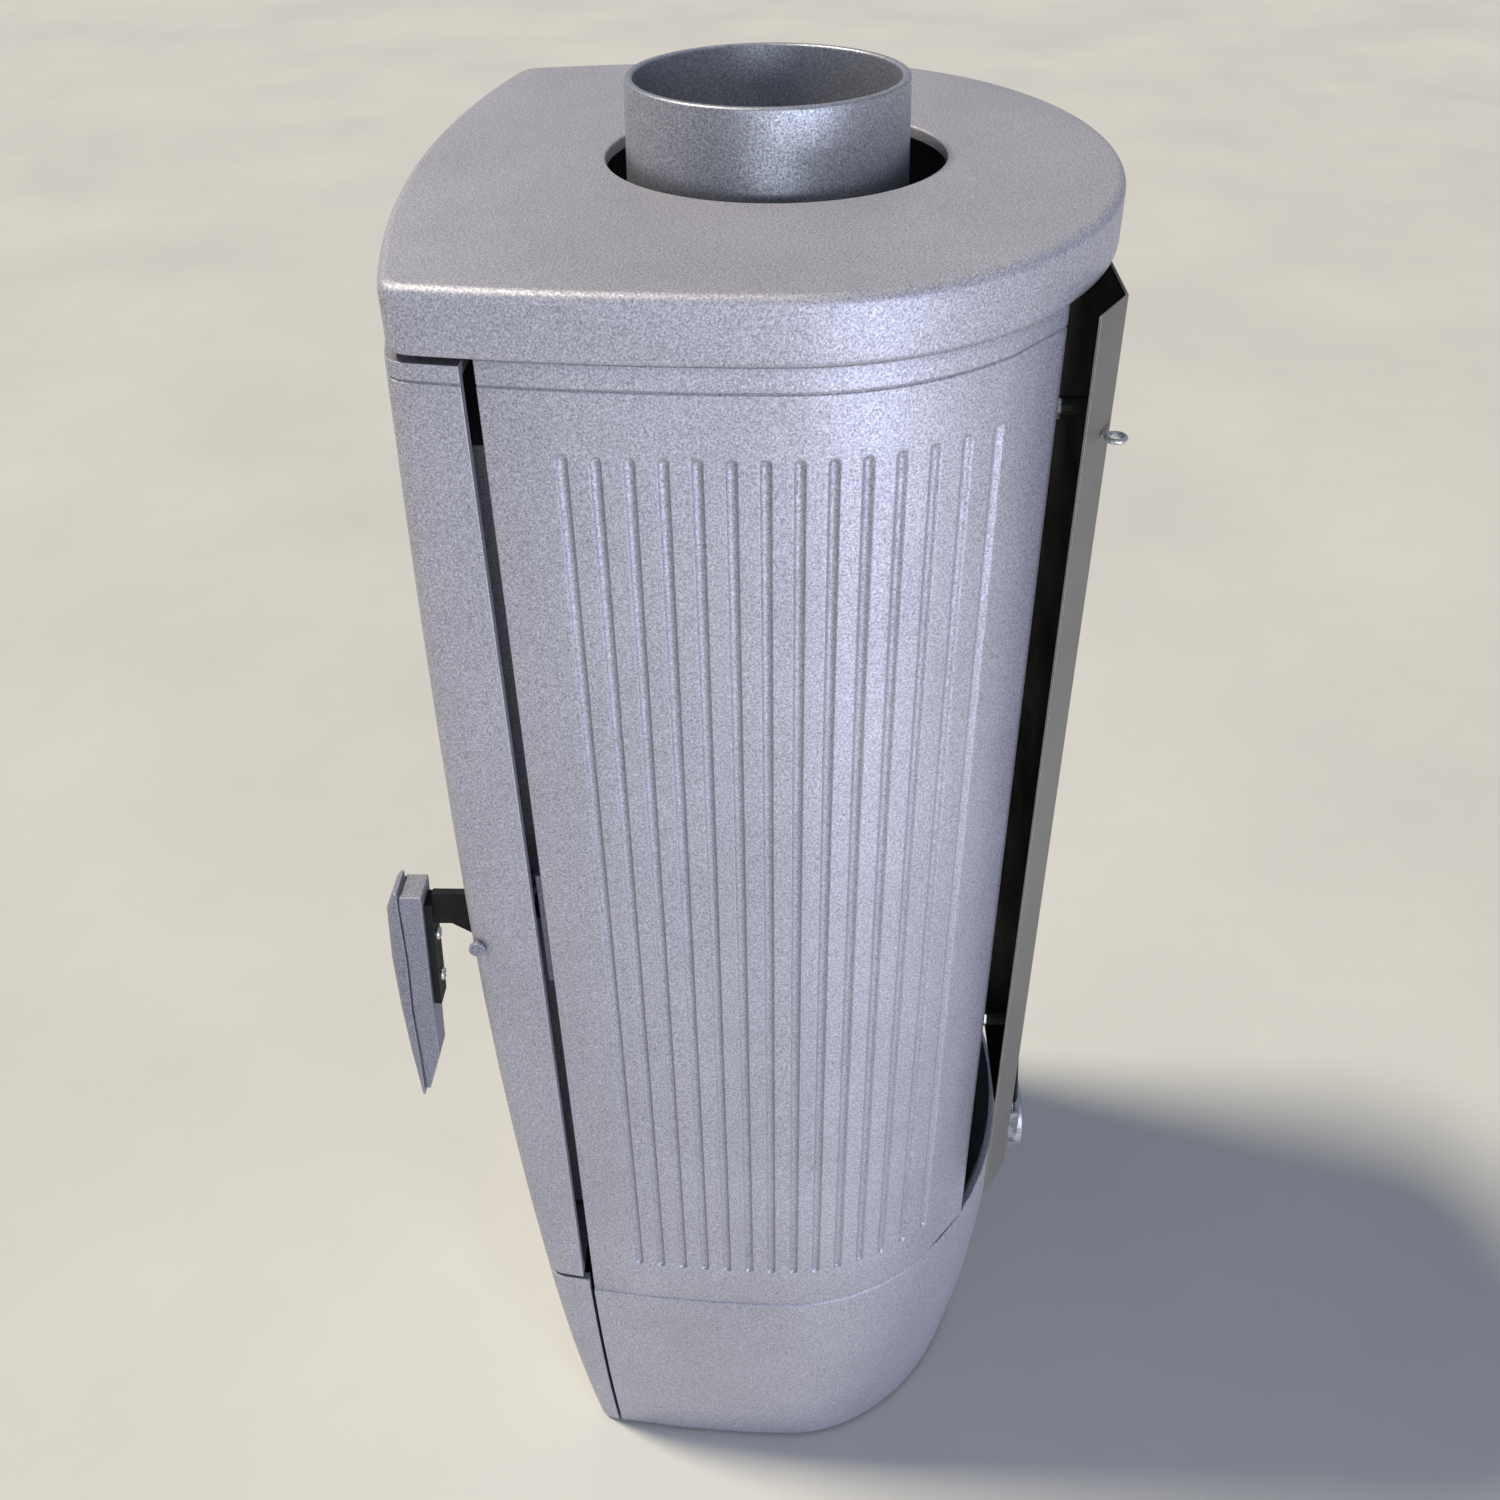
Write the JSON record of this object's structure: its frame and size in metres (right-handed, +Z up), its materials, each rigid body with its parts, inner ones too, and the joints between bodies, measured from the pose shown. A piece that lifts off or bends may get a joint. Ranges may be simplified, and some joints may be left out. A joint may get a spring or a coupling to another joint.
{
  "type": "cast_iron_stove",
  "caption": "Tall freestanding cast iron wood stove with fluted side panels, a bowed front door with a lever latch, a top flue outlet and a rear air inlet",
  "frame": {"origin": "On the floor, under the middle of the stove's footprint: half way from the door handle's face to the end of the rear air spigot, and half way across.", "axes": "+Z up. -Y is the front, with the door and its handle. +X is to the right of someone facing the door."},
  "size_m": [0.484, 0.484, 1.083],
  "materials": {
    "grey_paint": "fine metallic, satin",
    "black_paint": "matte",
    "dark_iron": "raw",
    "pale_steel": "zinc plated",
    "ceramic_glass": "polished",
    "rope_white": "braided",
    "liner_clay": "rough"
  },
  "bodies": {
    "stove_body": {"top_plate": "grey_paint", "side_panel_right": "grey_paint", "side_panel_left": "grey_paint", "base_skirt": "grey_paint", "flue_collar": "grey_paint", "heat_shield": "grey_paint", "back_panel": "black_paint", "hearth_plate": "black_paint", "front_frame": "black_paint", "chamber_side_right": "black_paint", "chamber_side_left": "black_paint", "chamber_back": "black_paint", "chamber_top": "black_paint", "foot_front_right": "dark_iron", "foot_front_left": "dark_iron", "foot_rear_right": "dark_iron", "foot_rear_left": "dark_iron", "grate": "dark_iron", "log_guard": "dark_iron", "hinge_bracket_lower": "dark_iron", "hinge_bracket_upper": "dark_iron", "shield_eye": "dark_iron", "latch_keeper": "pale_steel", "hinge_pin_lower": "pale_steel", "hinge_pin_upper": "pale_steel", "spacer_upper_right": "pale_steel", "spacer_upper_left": "pale_steel", "spacer_lower_right": "pale_steel", "spacer_lower_left": "pale_steel", "air_box": "pale_steel", "air_spigot": "pale_steel", "drawer_rail_right": "pale_steel", "drawer_rail_left": "pale_steel", "liner_back": "liner_clay", "liner_right": "liner_clay", "liner_left": "liner_clay", "baffle": "liner_clay"},
    "door": {"door_frame": "grey_paint", "door_glass": "ceramic_glass", "glass_tape": "rope_white", "glass_clip_top_right": "pale_steel", "glass_clip_top_left": "pale_steel", "glass_clip_bottom_right": "pale_steel", "glass_clip_bottom_left": "pale_steel", "door_rope": "rope_white", "pivot_pin": "dark_iron"},
    "handle": {"handle_strap": "black_paint", "handle_grip": "grey_paint", "grip_screw_upper": "pale_steel", "grip_screw_lower": "pale_steel"},
    "drawer": {"ash_drawer": "pale_steel", "base_front": "grey_paint"},
    "gate": {"air_gate": "black_paint"}
  },
  "joints": [
    {"name": "door_hinge", "type": "hinge", "parent": "stove_body", "child": "door", "pos_m": [-0.21, -0.147, 0.615], "axis": [0, 0, -1], "range_deg": [0, 110]},
    {"name": "handle_pivot", "type": "hinge", "parent": "door", "child": "handle", "pos_m": [0.184, -0.172, 0.604], "axis": [-1, 0, 0], "range_deg": [0, 20]},
    {"name": "drawer_slide", "type": "slide", "parent": "stove_body", "child": "drawer", "axis": [0, -1, 0], "range_m": [0, 0.12]},
    {"name": "gate_slide", "type": "slide", "parent": "stove_body", "child": "gate", "axis": [0, 0, -1], "range_m": [0, 0.055]}
  ]
}
